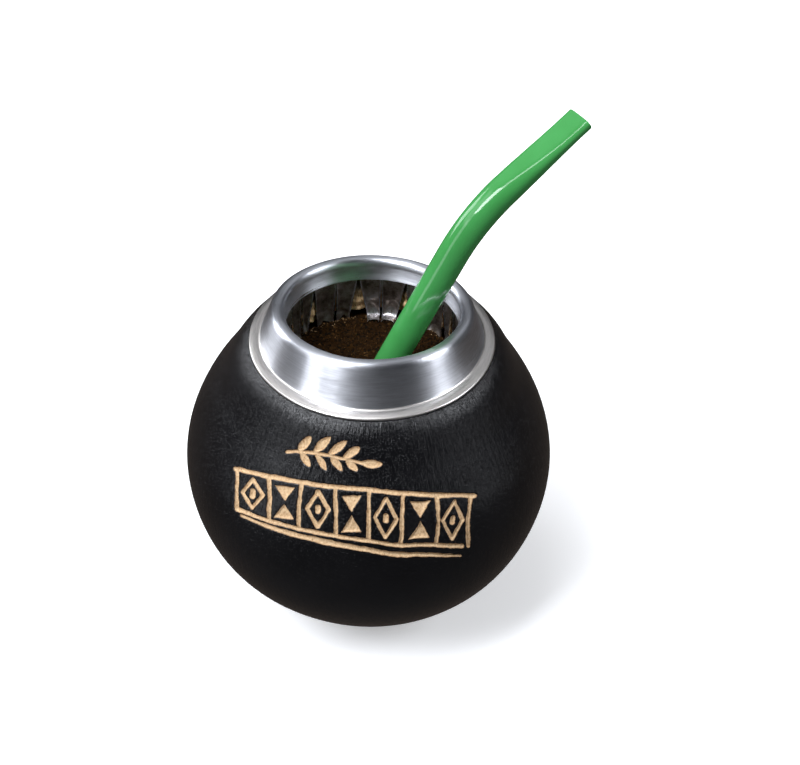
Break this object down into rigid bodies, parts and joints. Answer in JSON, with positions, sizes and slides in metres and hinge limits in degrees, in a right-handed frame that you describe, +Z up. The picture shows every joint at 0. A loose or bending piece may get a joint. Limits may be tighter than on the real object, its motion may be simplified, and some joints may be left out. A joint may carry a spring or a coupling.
{
  "type": "mate gourd drink",
  "caption": "Round black calabash cup with a spun metal collar, filled with packed brown mate, with a bent green drinking straw standing in it.",
  "frame": {"origin": "middle of the flat spot the gourd rests on, on the gourd's axis", "axes": "+Z up along the gourd's axis, +X towards the side the straw leans to, -Y towards the carved front"},
  "size_m": [0.0917, 0.09, 0.1247],
  "materials": {
    "gourd": "satin black stain on a fine leathery grain, with bare tan gourd in the carved lines",
    "collar": "spun and brushed, with a rolled lip and a slit skirt",
    "mate": "damp packed ground leaf, matte and finely mottled",
    "straw": "smooth glossy green"
  },
  "bodies": {
    "root": {"gourd": "gourd", "collar": "collar", "mate": "mate", "straw": "straw"}
  },
  "joints": []
}
